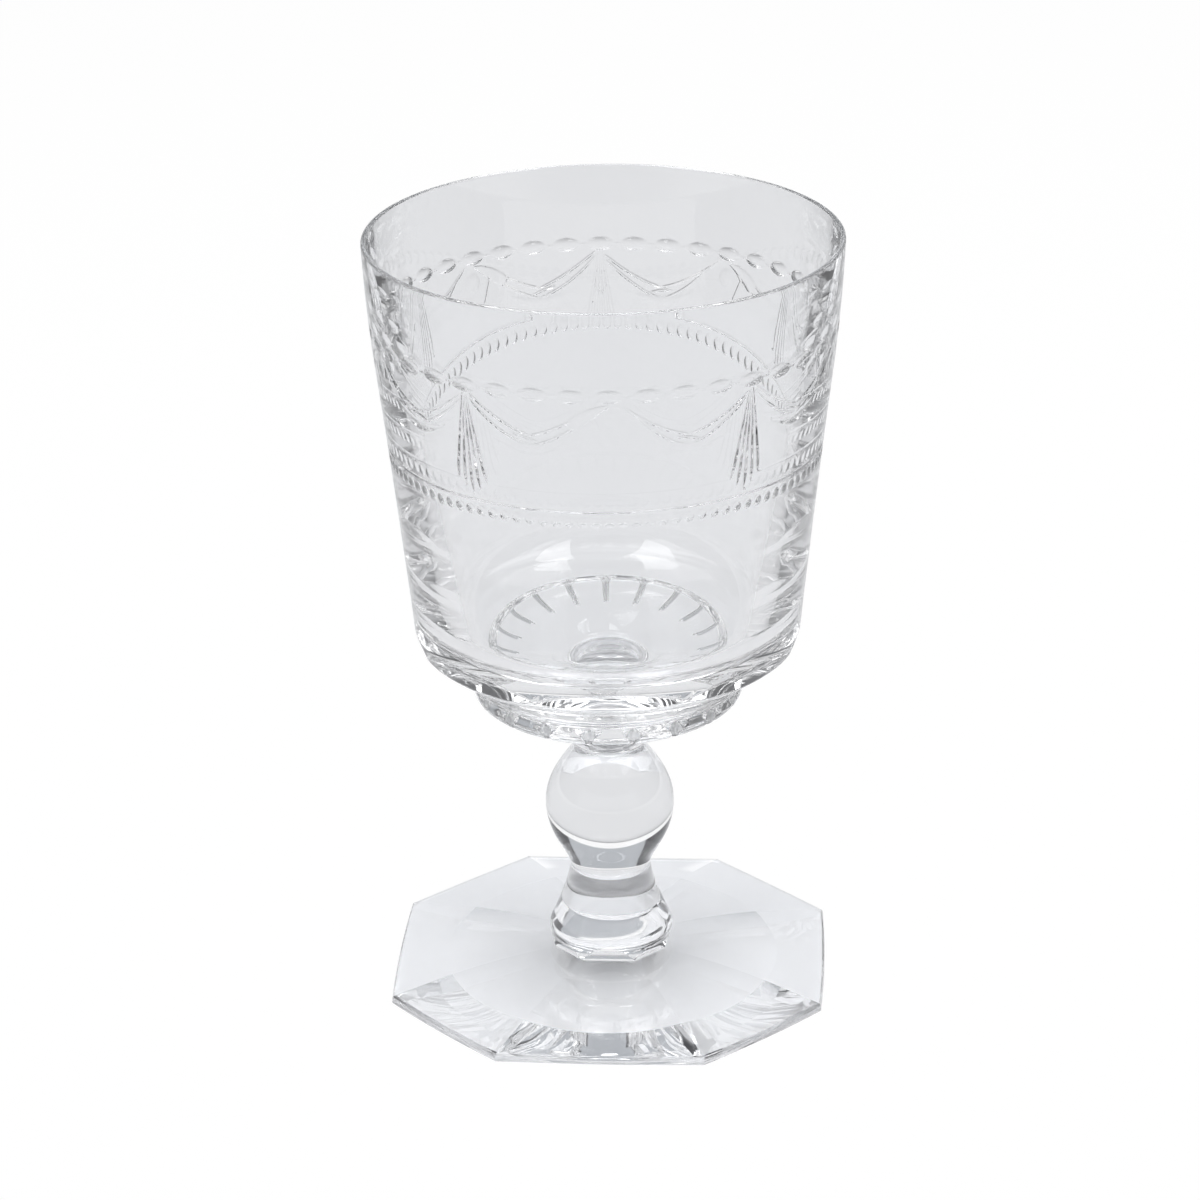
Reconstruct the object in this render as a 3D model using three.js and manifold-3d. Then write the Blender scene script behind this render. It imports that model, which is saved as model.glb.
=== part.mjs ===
// White wine glass of cut crystal: a tapered bowl on a moulded dish, a wafer, a ball knop,
// a flared stem base and an octagonal foot, fused one on top of the other.
// Millimetres, +Z up, with the origin on the table under the middle of the foot.
import * as THREE from 'three';
import { ConvexGeometry } from 'three/addons/geometries/ConvexGeometry.js';
import { mergeVertices } from 'three/addons/utils/BufferGeometryUtils.js';
import Module from 'manifold-3d';

// Foot: an octagon with four longer sides, seen from above.
const FOOT_ACROSS_FLATS = 73.4;
const FOOT_LONG_SIDE = 35.0;
const FOOT_EDGE_THICKNESS = 2.0;
const FOOT_RISE = 2.9;
const FOOT_RIM_WIDTH = 7.7;
const FOOT_HOLLOW_DEPTH = 1.6;

// Octagonal platform in the middle of the foot, where the stem stands.
const BUTTON_ACROSS_FLATS = 19.8;
const BUTTON_LONG_SIDE = 9.4;
const BUTTON_MARGIN = 0.35;

// Stem base: a swollen ring, cut into eight flats below, and a flare up to the neck.
const STEM_BASE_HEIGHT = 14.6;
const RING_RADIUS = 10.8;
const RING_HEIGHT = 2.4;
const RING_ROUND = 1.8;
const RING_ROUND_INSET = 0.3;
const RING_FLAT_SLOPE = 0.42;
const FLARE_HOLLOW = 1.0;
const NECK_RADIUS = 7.0;

// Ball knop, and how far its curves run straight on from the neck, the belly and the top.
const KNOP_HEIGHT = 23.5;
const KNOP_RADIUS = 11.2;
const KNOP_CENTRE_HEIGHT = 12.3;
const KNOP_TOP_RADIUS = 5.9;
const KNOP_NECK_EASE = 3.1;
const KNOP_LOWER_EASE = 6.1;
const KNOP_UPPER_EASE = 4.7;
const KNOP_TOP_REACH = 2.1;
const KNOP_TOP_DROP = 3.0;

// Wafer between the stem and the bowl's base.
const MERESE_HEIGHT = 2.6;
const MERESE_SWELL = 1.4;

// Moulded dish under the bowl, from its neck up to its joint with the bowl.
const BASE_NECK_RADIUS = 6.2;
const BASE_NECK_LENGTH = 1.6;
const BASE_FILLET = 2.2;
const BASE_UNDERSIDE_RISE = 2.2;
const BAND_HEIGHT = 4.8;
const BAND_INSET = 3.5;
const BAND_SWELL = 0.4;
const BAND_SWELL_RISE = 1.6;
const BASE_SHOULDER_HEIGHT = 1.6;
const BASE_SHOULDER_INSET = 1.5;

// Eggs of the band.
const EGG_COUNT = 16;
const EGG_WIDTH = 6.8;
const EGG_LENGTH = 5.2;
const EGG_PROUD = 0.45;

// Bowl, outside: each station is narrower than the one above it by its inset.
const BOWL_HEIGHT = 77.2;
const RIM_RADIUS = 40.0;
const RIM_WALL = 0.9;
const OVAL_ROW_BELOW_RIM = 14.2;
const OVAL_ROW_INSET = 0.9;
const RING_LINE_BELOW_OVALS = 20.4;
const RING_LINE_INSET = 2.35;
const RING_LINE_WIDTH = 0.5;
const RING_LINE_DEPTH = 0.25;
const HEEL_INSET = 3.85;
const HEEL_RISE = 6.0;
const HEEL_ROUND = 5.6;
const HEEL_UNDERSIDE_WIDTH = 8.1;

// Bowl, inside: a straight taper down to the corner of a rounded floor.
const CUP_FLOOR_THICKNESS = 3.5;
const CUP_CORNER_RISE = 11.0;
const CUP_CORNER_WALL = 7.6;
const CUP_CORNER_EASE = 6.5;
const CUP_FLOOR_EASE = 13.0;

// Row of oval cuts round the bowl, turned a little from the foot as on the real glass.
const OVAL_COUNT = 40;
const OVAL_WIDTH = 4.9;
const OVAL_HEIGHT = 2.5;
const OVAL_DEPTH = 0.45;
const PATTERN_TURN = 4.3;

// Long olive-shaped cuts round the heel.
const HEEL_CUT_COUNT = 8;
const HEEL_CUT_RISE = 7.3;
const HEEL_CUT_HEIGHT = 5.2;
const HEEL_CUT_DEPTH = 0.45;

// Fineness of the round forms.
const BOWL_SEGMENTS = 72;
const BASE_SEGMENTS = 64;
const STEM_SEGMENTS = 48;
const CURVE_STEPS = 6;
const LONG_CURVE_STEPS = 9;
const OVAL_SEGMENTS = 10;
const EGG_SEGMENTS = 8;
const MERGE_DISTANCE = 1e-4;

// Heights of the fused joints above the table.
const FOOT_TOP = FOOT_EDGE_THICKNESS + FOOT_RISE;
const NECK_TOP = FOOT_TOP + STEM_BASE_HEIGHT;
const KNOP_TOP = NECK_TOP + KNOP_HEIGHT;
const MERESE_TOP = KNOP_TOP + MERESE_HEIGHT;
const BAND_BOTTOM = MERESE_TOP + BASE_NECK_LENGTH + BASE_FILLET + BASE_UNDERSIDE_RISE;
const BASE_TOP = BAND_BOTTOM + BAND_HEIGHT + BASE_SHOULDER_HEIGHT;
const RIM_TOP = BASE_TOP + BOWL_HEIGHT;

// Radii that follow from the rim.
const OVAL_ROW_RADIUS = RIM_RADIUS - OVAL_ROW_INSET;
const RING_LINE_RADIUS = OVAL_ROW_RADIUS - RING_LINE_INSET;
const HEEL_RADIUS = RING_LINE_RADIUS - HEEL_INSET;
const BOWL_JOINT_RADIUS = HEEL_RADIUS - HEEL_UNDERSIDE_WIDTH;
const BAND_TOP_RADIUS = BOWL_JOINT_RADIUS - BASE_SHOULDER_INSET;
const BAND_BOTTOM_RADIUS = BAND_TOP_RADIUS - BAND_INSET;

// Heights of the two rows that are cut into the bowl's wall.
const OVAL_ROW = RIM_TOP - OVAL_ROW_BELOW_RIM;
const RING_LINE = OVAL_ROW - RING_LINE_BELOW_OVALS;

// Turn of the first motif, which faces the front, -Y.
const FRONT_MOTIF = THREE.MathUtils.degToRad(PATTERN_TURN - 90);

const wasm = await Module();
wasm.setup();

// Solid for cutting and joining, made from a closed geometry.
function solidOf(geometry) {
  const bare = geometry.clone();
  bare.deleteAttribute('normal');
  bare.deleteAttribute('uv');
  const merged = mergeVertices(bare, MERGE_DISTANCE);
  const corners = Array.from(merged.index.array);
  const triangles = [];
  for (let first = 0; first < corners.length; first += 3) {
    const [a, b, c] = corners.slice(first, first + 3);
    if (a !== b && b !== c && c !== a) {
      triangles.push(a, b, c);
    }
  }
  const mesh = new wasm.Mesh({
    numProp: 3,
    vertProperties: new Float32Array(merged.attributes.position.array),
    triVerts: new Uint32Array(triangles),
  });
  return new wasm.Manifold(mesh);
}

function geometryOf(solid) {
  const mesh = solid.getMesh();
  const geometry = new THREE.BufferGeometry();
  geometry.setAttribute('position', new THREE.BufferAttribute(mesh.vertProperties, mesh.numProp));
  geometry.setIndex(new THREE.BufferAttribute(mesh.triVerts, 1));
  geometry.computeVertexNormals();
  return geometry;
}

// Round form about Z from its half outline of (radius, height) points, bottom to top.
function turned(outline, segments) {
  const geometry = new THREE.LatheGeometry(outline, segments);
  geometry.rotateX(Math.PI / 2);
  return geometry;
}

function point(radius, height) {
  return new THREE.Vector2(radius, height);
}

function bend(start, control, end, steps = CURVE_STEPS) {
  return new THREE.QuadraticBezierCurve(start, control, end).getPoints(steps);
}

// Corners of an octagon whose sides along X and Y have one length.
function octagon(acrossFlats, longSide, height) {
  const a = acrossFlats / 2;
  const b = longSide / 2;
  const plan = [[b, -a], [a, -b], [a, b], [b, a], [-b, a], [-a, b], [-a, -b], [-b, -a]];
  return plan.map(([x, y]) => new THREE.Vector3(x, y, height));
}

function foot() {
  const plate = new ConvexGeometry([
    ...octagon(FOOT_ACROSS_FLATS, FOOT_LONG_SIDE, 0),
    ...octagon(FOOT_ACROSS_FLATS, FOOT_LONG_SIDE, FOOT_EDGE_THICKNESS),
    ...octagon(BUTTON_ACROSS_FLATS, BUTTON_LONG_SIDE, FOOT_TOP),
  ]);
  const hollowRadius = FOOT_ACROSS_FLATS / 2 - FOOT_RIM_WIDTH;
  const dome = [];
  for (let step = 0; step <= CURVE_STEPS; step += 1) {
    const share = 1 - step / CURVE_STEPS;
    dome.push(point(hollowRadius * share, FOOT_HOLLOW_DEPTH * (1 - share * share)));
  }
  const hollow = turned([
    point(0, -FOOT_EDGE_THICKNESS),
    point(hollowRadius, -FOOT_EDGE_THICKNESS),
    ...dome,
  ], STEM_SEGMENTS);
  return geometryOf(solidOf(plate).subtract(solidOf(hollow)));
}

// Eight-sided funnel that trims the stem base's ring, standing on the foot's platform.
function ringFlats() {
  const bottom = BUTTON_ACROSS_FLATS - 2 * BUTTON_MARGIN;
  const top = bottom + 2 * RING_FLAT_SLOPE * STEM_BASE_HEIGHT;
  const sideShare = BUTTON_LONG_SIDE / BUTTON_ACROSS_FLATS;
  return new ConvexGeometry([
    ...octagon(bottom, bottom * sideShare, FOOT_TOP),
    ...octagon(top, top * sideShare, NECK_TOP),
  ]);
}

function stemBase() {
  const ringTop = FOOT_TOP + RING_HEIGHT;
  const flareFoot = point(RING_RADIUS - RING_ROUND_INSET, ringTop + RING_ROUND);
  const flareBend = point(NECK_RADIUS + FLARE_HOLLOW, (flareFoot.y + NECK_TOP) / 2);
  const flare = turned([
    point(0, FOOT_TOP),
    point(RING_RADIUS, FOOT_TOP),
    point(RING_RADIUS, ringTop),
    ...bend(flareFoot, flareBend, point(NECK_RADIUS, NECK_TOP)),
    point(0, NECK_TOP),
  ], STEM_SEGMENTS);
  return geometryOf(solidOf(flare).intersect(solidOf(ringFlats())));
}

function ballKnop() {
  const centre = NECK_TOP + KNOP_CENTRE_HEIGHT;
  const lower = new THREE.CubicBezierCurve(
    point(NECK_RADIUS, NECK_TOP),
    point(NECK_RADIUS, NECK_TOP + KNOP_NECK_EASE),
    point(KNOP_RADIUS, centre - KNOP_LOWER_EASE),
    point(KNOP_RADIUS, centre),
  );
  const upper = new THREE.CubicBezierCurve(
    point(KNOP_RADIUS, centre),
    point(KNOP_RADIUS, centre + KNOP_UPPER_EASE),
    point(KNOP_TOP_RADIUS + KNOP_TOP_REACH, KNOP_TOP - KNOP_TOP_DROP),
    point(KNOP_TOP_RADIUS, KNOP_TOP),
  );
  return geometryOf(solidOf(turned([
    point(0, NECK_TOP),
    ...lower.getPoints(LONG_CURVE_STEPS),
    ...upper.getPoints(LONG_CURVE_STEPS).slice(1),
    point(0, KNOP_TOP),
  ], STEM_SEGMENTS)));
}

function merese() {
  const swell = Math.max(KNOP_TOP_RADIUS, BASE_NECK_RADIUS) + MERESE_SWELL;
  return geometryOf(solidOf(turned([
    point(0, KNOP_TOP),
    ...bend(
      point(KNOP_TOP_RADIUS, KNOP_TOP),
      point(swell, (KNOP_TOP + MERESE_TOP) / 2),
      point(BASE_NECK_RADIUS, MERESE_TOP),
    ),
    point(0, MERESE_TOP),
  ], STEM_SEGMENTS)));
}

// Outline of the moulded band, which bulges outwards.
function bandCurve() {
  return new THREE.QuadraticBezierCurve(
    point(BAND_BOTTOM_RADIUS, BAND_BOTTOM),
    point(BAND_TOP_RADIUS + BAND_SWELL, BAND_BOTTOM + BAND_SWELL_RISE),
    point(BAND_TOP_RADIUS, BAND_BOTTOM + BAND_HEIGHT),
  );
}

// One egg of the band at the +X side, half sunk and lying along the band's slope.
function egg(middle) {
  const form = new THREE.SphereGeometry(1, EGG_SEGMENTS, EGG_SEGMENTS / 2);
  form.scale(2 * EGG_PROUD, EGG_WIDTH / 2, EGG_LENGTH / 2);
  form.rotateY(Math.atan2(BAND_INSET, BAND_HEIGHT));
  form.translate(middle.x - EGG_PROUD, 0, middle.y);
  return form;
}

function bowlBase() {
  const neckTop = MERESE_TOP + BASE_NECK_LENGTH;
  const filletTop = neckTop + BASE_FILLET;
  const band = bandCurve().getPoints(CURVE_STEPS);
  let solid = solidOf(turned([
    point(0, MERESE_TOP),
    point(BASE_NECK_RADIUS, MERESE_TOP),
    ...bend(
      point(BASE_NECK_RADIUS, neckTop),
      point(BASE_NECK_RADIUS, filletTop),
      point(BASE_NECK_RADIUS + BASE_FILLET, filletTop),
    ),
    ...band,
    point(BOWL_JOINT_RADIUS, BASE_TOP),
    point(0, BASE_TOP),
  ], BASE_SEGMENTS));
  for (let index = 0; index < EGG_COUNT; index += 1) {
    const form = egg(band[CURVE_STEPS / 2]);
    form.rotateZ(FRONT_MOTIF + index * 2 * Math.PI / EGG_COUNT);
    solid = solid.add(solidOf(form));
  }
  return geometryOf(solid);
}

// Outline of the bowl's outside, from the joint up to the lip.
function bowlOutside() {
  const joint = point(BOWL_JOINT_RADIUS, BASE_TOP);
  const corner = point(HEEL_RADIUS, BASE_TOP + HEEL_RISE);
  const ringLine = point(RING_LINE_RADIUS, RING_LINE);
  const heelIn = corner.clone().add(joint.clone().sub(corner).setLength(HEEL_ROUND));
  const heelOut = corner.clone().add(ringLine.clone().sub(corner).setLength(HEEL_ROUND));
  return [
    joint,
    ...bend(heelIn, corner, heelOut, LONG_CURVE_STEPS),
    point(RING_LINE_RADIUS, RING_LINE - RING_LINE_WIDTH / 2),
    point(RING_LINE_RADIUS - RING_LINE_DEPTH, RING_LINE),
    point(RING_LINE_RADIUS, RING_LINE + RING_LINE_WIDTH / 2),
    point(OVAL_ROW_RADIUS, OVAL_ROW),
    point(RIM_RADIUS, RIM_TOP - RIM_WALL / 2),
  ];
}

// Outline of the cup's inside, from the lip down to the middle of its floor.
function bowlInside() {
  const floor = BASE_TOP + CUP_FLOOR_THICKNESS;
  const lip = point(RIM_RADIUS - RIM_WALL, RIM_TOP - RIM_WALL / 2);
  const corner = point(HEEL_RADIUS - CUP_CORNER_WALL, floor + CUP_CORNER_RISE);
  const along = corner.clone().sub(lip).setLength(CUP_CORNER_EASE);
  const bottom = new THREE.CubicBezierCurve(
    corner,
    corner.clone().add(along),
    point(CUP_FLOOR_EASE, floor),
    point(0, floor),
  );
  return [lip, ...bottom.getPoints(LONG_CURVE_STEPS)];
}

// Hollow the long cuts into the heel by moving the outside's points inwards.
function cutHeel(geometry) {
  const place = geometry.attributes.position;
  const middle = BASE_TOP + HEEL_CUT_RISE;
  const pitch = 2 * Math.PI / HEEL_CUT_COUNT;
  for (let index = 0; index < place.count; index += 1) {
    const x = place.getX(index);
    const y = place.getY(index);
    const radius = Math.hypot(x, y);
    const across = 2 * (place.getZ(index) - middle) / HEEL_CUT_HEIGHT;
    if (Math.abs(across) >= 1 || radius < BOWL_JOINT_RADIUS) {
      continue;
    }
    const turns = (Math.atan2(y, x) - FRONT_MOTIF) / pitch;
    const along = 2 * (turns - Math.round(turns));
    const depth = HEEL_CUT_DEPTH * Math.max(0, 1 - along * along - across * across);
    place.setXY(index, x * (1 - depth / radius), y * (1 - depth / radius));
  }
  return geometry;
}

// One oval cut at the +X side, lying on the slope of the wall. The cutter sinks in by half its
// thickness, where its outline is smaller than the cutter itself by half the root of three.
function ovalCut() {
  const form = new THREE.SphereGeometry(1, OVAL_SEGMENTS, OVAL_SEGMENTS / 2 + 1);
  form.scale(2 * OVAL_DEPTH, OVAL_WIDTH / Math.sqrt(3), OVAL_HEIGHT / Math.sqrt(3));
  form.rotateY(Math.atan2(RING_LINE_INSET, RING_LINE_BELOW_OVALS));
  form.translate(OVAL_ROW_RADIUS + OVAL_DEPTH, 0, OVAL_ROW);
  return form;
}

function bowl() {
  const outline = [
    point(0, BASE_TOP),
    ...bowlOutside(),
    point(RIM_RADIUS - RIM_WALL / 4, RIM_TOP),
    point(RIM_RADIUS - RIM_WALL * 3 / 4, RIM_TOP),
    ...bowlInside(),
  ];
  let solid = solidOf(cutHeel(turned(outline, BOWL_SEGMENTS)));
  for (let index = 0; index < OVAL_COUNT; index += 1) {
    const form = ovalCut();
    form.rotateZ(FRONT_MOTIF + index * 2 * Math.PI / OVAL_COUNT);
    solid = solid.subtract(solidOf(form));
  }
  return geometryOf(solid);
}

function crystal() {
  return new THREE.MeshStandardMaterial({
    color: 0xe6eaee,
    roughness: 0.04,
    metalness: 0,
    transparent: true,
    opacity: 0.35,
  });
}

const glass = new THREE.Group();
const pieces = {
  foot: foot(),
  stem_base: stemBase(),
  ball_knop: ballKnop(),
  merese: merese(),
  bowl_base: bowlBase(),
  bowl: bowl(),
};
for (const [name, geometry] of Object.entries(pieces)) {
  const mesh = new THREE.Mesh(geometry, crystal());
  mesh.name = name;
  glass.add(mesh);
}

export default glass;
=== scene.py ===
import math
from dataclasses import dataclass

import bmesh
import bpy
import numpy as np
from mathutils import Matrix, Vector
from mathutils.geometry import delaunay_2d_cdt

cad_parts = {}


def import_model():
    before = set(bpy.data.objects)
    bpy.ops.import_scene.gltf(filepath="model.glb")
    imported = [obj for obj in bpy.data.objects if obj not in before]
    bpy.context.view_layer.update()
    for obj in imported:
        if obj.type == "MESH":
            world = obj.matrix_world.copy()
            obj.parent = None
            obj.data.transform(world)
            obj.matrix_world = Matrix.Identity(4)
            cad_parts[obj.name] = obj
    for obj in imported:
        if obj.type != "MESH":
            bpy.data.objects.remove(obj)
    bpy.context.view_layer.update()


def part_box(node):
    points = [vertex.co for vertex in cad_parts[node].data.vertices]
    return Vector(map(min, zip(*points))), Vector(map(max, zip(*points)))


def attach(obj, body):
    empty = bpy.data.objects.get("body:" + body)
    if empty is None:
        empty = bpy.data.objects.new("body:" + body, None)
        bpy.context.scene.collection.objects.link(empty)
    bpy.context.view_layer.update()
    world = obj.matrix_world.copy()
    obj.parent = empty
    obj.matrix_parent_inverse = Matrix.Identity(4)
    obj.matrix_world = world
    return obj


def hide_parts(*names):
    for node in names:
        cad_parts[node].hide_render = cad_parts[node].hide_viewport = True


# A white wine glass of cut crystal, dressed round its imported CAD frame. Each CAD node is replaced
# by a finer closed mesh of the same form. Lengths are millimetres here and metres in Blender.
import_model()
MM = 0.001
WELD = 0.001

# Thick pieces that cast a soft shadow. The rest lets the light through.
SHADOW_CASTERS = ("merese", "ball_knop", "stem_base")

# Fineness of the round forms.
BOWL_COLUMNS = 240
STEM_COLUMNS = 192
ROWS_PER_CURVE = 16
NORMAL_STEP = 0.02
OUTLINE_SAMPLES = 400
LATHE_SAMPLES = 2000

# Material slots of the pieces.
GLASS_SLOT = 0
JOINT_SLOT = 1
LEAF_SLOT = 2
VALLEY_SLOT = 3


def top_of(node):
    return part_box(node)[1].z / MM


# Heights of the fused joints, from the frame.
FOOT_TOP = top_of("foot")
NECK_TOP = top_of("stem_base")
KNOP_TOP = top_of("ball_knop")
MERESE_TOP = top_of("merese")
BASE_TOP = top_of("bowl_base")
RIM_TOP = top_of("bowl")
RIM_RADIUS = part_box("bowl")[1].x / MM

# Foot: an octagon with four longer sides, and the platform in its middle where the stem stands.
FOOT_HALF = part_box("foot")[1].x / MM
FOOT_HALF_SIDE = 17.5
FOOT_SIDE_STEPS = 24
FOOT_SPREAD = (0.65, 0.27)
FOOT_EDGE = 1.6
FOOT_BULGE = 0.45
FOOT_DROOP = 0.22
FOOT_ROUND_LOW = 0.42
FOOT_ROUND_TOP = 0.75
FOOT_EDGE_SLOPE = 0.178
FOOT_SLOPE_SHARE = 0.28
FOOT_RING_LIFT = 0.14
FOOT_RING_STEPS = 6
FOOT_ROUND_STEPS = (6, 10)
FOOT_SLOPE_STEPS = 8
FOOT_RING_WIDTH = 7.7
HOLLOW_RADIUS = FOOT_HALF - FOOT_RING_WIDTH
HOLLOW_DEPTH = 1.6
PLATFORM_HALF = 9.9
PLATFORM_HALF_SIDE = 4.7

# Stem base: a swollen ring with eight flats below it, and a flare up to the neck.
FLATS_COUNT = 8
FLATS_HALF = 9.55
FLATS_SLOPE = 0.42
RING_FOOT_RADIUS = 10.65
RING_HEIGHT = 4.2
FLARE_FOOT = (10.5, FOOT_TOP + RING_HEIGHT)
FLARE_BEND = (8.0, (FOOT_TOP + RING_HEIGHT + NECK_TOP) / 2)
RING_BEND = (11.0, FOOT_TOP + 3.15)
RING_LOW = (10.8, FOOT_TOP + 2.0)
NECK_RADIUS = 7.0

# Ball knop and wafer.
KNOP_RADIUS = 11.2
KNOP_CENTRE = NECK_TOP + 12.3
KNOP_TOP_RADIUS = 5.9
KNOP_EASES = (3.1, 6.1, 4.7)
KNOP_TOP_EASE = (2.1, -3.0)
MERESE_SWELL = 1.4

# Moulded dish under the bowl.
BASE_NECK_RADIUS = 6.2
BASE_NECK_LENGTH = 1.6
BASE_FILLET = 2.2
BASE_RADIUS = 24.8
BASE_NECK_STEPS = 3
BASE_UNDER_STEPS = 6
BAND_BOTTOM = (16.5, BASE_TOP - 6.96)
BAND_BEND = ((22.8, BASE_TOP - 5.72), (23.5, BASE_TOP - 5.0))
BAND_TOP = (23.3, BASE_TOP - 1.9)
SHOULDER_BEND = (23.25, BASE_TOP - 1.15)

# Egg-and-dart on the dish's band. Lengths run up the band and round it.
EGG_COUNT = 19
BAND_ROWS = 56
BAND_COLUMNS = 48
VALLEY_HALF_WIDTH = 0.6
VALLEY_FLARE = 2.6
VALLEY_DEPTH = 0.75
LEAF_LENGTH = 2.7
LEAF_HALF_WIDTH = 1.0
LEAF_PROUD = 0.7
LEAF_SIDE = 0.9
LEAF_SKEW = 0.8
LEAF_END = 0.001
BAND_FADE = (1.6, 0.6)

# Bowl, outside and inside.
HEEL_CORNER = (32.9, BASE_TOP + 6.0)
HEEL_ROUND = 1.1
LIP_WALL = 0.9
LIP_STEPS = 12
LIP_WALL_ROWS = 12
CUP_SIDE_STEPS = 30
CUP_FLOOR = BASE_TOP + 6.5
CUP_FLOOR_DIP = 0.3
CUP_FLOOR_RADIUS = 16.5
CUP_FLOOR_EASE = 5.0
CUP_CORNER = (26.5, BASE_TOP + 13.5)
CUP_CORNER_EASE = 5.0

# Stations of the bowl's wall above the heel: radius, height and widening per millimetre of height.
RING_LINE = RIM_TOP - 34.6
OVAL_ROW = RIM_TOP - 14.2
WALL_STATIONS = (
    (33.4, BASE_TOP + 11.6, 0.105),
    (36.75, RING_LINE, 0.113),
    (39.1, OVAL_ROW, 0.092),
    (RIM_RADIUS, RIM_TOP - LIP_WALL / 2, 0.045),
)

# Olive-shaped cuts round the heel, almost flat, with softened edges.
HEEL_CUTS = 8
HEEL_CUT_TILT = math.radians(22)
HEEL_CUT_DEPTH = 0.6
HEEL_CUT_SHARE = 0.965
HEEL_CUT_EDGE = 0.3
HEEL_CUT_EDGE_SHARE = 0.25
HEEL_EDGE_BLEND = 0.5
HEEL_ROWS = (24, 8, 30)
HEEL_SAMPLES = 40

# The bowl's cut pattern repeats five times. It is drawn unrolled at one radius, with angles in
# degrees from the front knot and heights above the table.
PATTERN_TURN = 4.3
FRONT = math.radians(PATTERN_TURN - 90)
REPEATS = 5
SECTOR = 360 / REPEATS
SECTOR_START = -13.5
PATTERN_RADIUS = 38.0
PATTERN_BOTTOM = RING_LINE - 4.6
PATTERN_TOP = OVAL_ROW + 3.0
PATTERN_GRAIN = 1.4
CLOSEST_POINTS = 0.035
BORDER_MARGIN = 0.06
MERGE_DISTANCE = 1e-6

# Rows of points across the cuts, in half widths from their middle line.
GROOVE_ROWS = (-1.25, -1, -0.5, 0, 0.5, 1, 1.25)
LINE_ROWS = (-1.3, -1, -0.5, 0, 0.5, 1, 1.3)
LINE_POINTS = 97
OVAL_RINGS = (0.35, 0.7, 0.9, 1, 1.08)

# Oval cuts, with short links between them.
OVAL_PITCH = 9.0
OVAL_SIZE = (2.45, 1.25)
OVAL_DEPTH = 0.42
OVAL_POINTS = 32
LINK_HALF_WIDTH = 0.2
LINK_DEPTH = 0.1

# Ring line and pearls.
RING_LINE_HALF_WIDTH = 0.24
RING_LINE_DEPTH = 0.16
PEARLS_PER_REPEAT = 21
PEARL_PITCH = SECTOR / PEARLS_PER_REPEAT
PEARL_ROW = RING_LINE - 1.9
PEARL_SIZE = (0.96, 1.0)
PEARL_DEPTH = 0.3
PEARL_POINTS = 16

# Swags: fine lines from the knot to the tassels, each a curve of three points.
SWAG_LINE_HALF_WIDTH = 0.25
SWAG_LINE_DEPTH = 0.15
SWAG_LINE_STEP = 0.3
SWAG_LINE_LEAST_STEPS = 6
SWAG_LINE_TAPER = 8
SWAG_LINE_END = 0.3
SWAG_EDGE_HEIGHTS = (111.0, 117.0)
SWAG_EDGE_STEP = 0.09
SWAG_LINES = (
    ((3.2, 119.4), (12.0, 114.6), (19.5, 113.6)),
    ((19.5, 113.6), (27.0, 114.6), (35.2, 119.2)),
    ((5.6, 118.4), (12.2, 113.0), (19.4, 111.5)),
    ((19.4, 111.5), (27.0, 113.1), (34.4, 118.0)),
    ((-34.6, 119.6), (-26.5, 115.2), (-19.2, 113.8)),
    ((-19.2, 113.8), (-13.0, 114.9), (-6.8, 117.7)),
    ((-34.4, 118.6), (-27.5, 113.4), (-18.9, 112.0)),
    ((-18.9, 112.0), (-14.2, 112.9), (-8.2, 115.6)),
    ((16.4, 113.2), (19.5, 113.2), (22.3, 112.5)),
    ((-23.2, 113.8), (-20.4, 113.5), (-17.6, 112.8)),
    ((-18.7, 111.8), (-16.8, 111.6), (-14.8, 111.2)),
    ((-3.1, 117.8), (-3.9, 117.4), (-4.4, 116.8)),
    ((-4.4, 116.8), (-3.3, 114.9), (-2.1, 112.7)),
)

# Broad shallow hollows under the swags, the ribbon at the knot, and the knot itself.
SWAG_HOLLOWS = (
    ((11.0, 112.9), (16.5, 110.9), (20.5, 110.6), (28.0, 112.3)),
    ((-28.0, 112.5), (-20.5, 110.9), (-16.5, 110.9), (-11.0, 112.9)),
)
SWAG_HOLLOW_HALF_WIDTH = 1.0
SWAG_HOLLOW_DEPTH = 0.2
SWAG_HOLLOW_STEPS = 14
SWAG_HOLLOW_END = 0.04
SWAG_HOLLOW_FULLNESS = 0.7
RIBBON = ((-0.6, 119.3), (-4.0, 118.6), (-8.2, 116.3))
RIBBON_HALF_WIDTHS = (0.25, 0.95, 1.15)
RIBBON_DEPTH = 0.17
RIBBON_STEPS = 14
RIBBON_FLATNESS = 6
KNOT = (0.5, 116.8)
KNOT_SIZE = (1.5, 1.75)
KNOT_DEPTH = 0.24
KNOT_POINTS = 24

# Tassels: five tapering grooves, each from its top to its tip.
TASSEL = 36.0
TASSEL_TOP = 119.3
TASSEL_TIPS = ((-4.3, 104.0), (-2.2, 102.6), (0.0, 101.9), (2.2, 102.6), (4.3, 104.0))
TASSEL_TOP_SPREAD = 0.12
TASSEL_HALF_WIDTH = 0.5
TASSEL_TOP_HALF_WIDTH = 0.16
TASSEL_WIDEST = 0.86
TASSEL_DEPTH_SHARE = 0.6
TASSEL_STEPS = 68
TASSEL_TIP_SHARE = 0.01

# Camera of the photograph.
CAMERA_PLACE = (38.58, -634.44, 341.94)
CAMERA_PITCH = 23.187
CAMERA_TURN = 3.595
CAMERA_ROLL = -0.729
CAMERA_LENS = 121.18
CAMERA_SENSOR = 36


def bezier(points, steps):
    """Points along a Bezier curve of any degree, both ends included."""
    share = np.linspace(0, 1, steps + 1)[:, None]
    layers = [np.tile(np.array(p, float), (steps + 1, 1)) for p in points]
    while len(layers) > 1:
        layers = [(1 - share) * a + share * b for a, b in zip(layers, layers[1:])]
    return layers[0]


def straight(start, end, steps):
    return bezier((start, end), steps)


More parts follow.
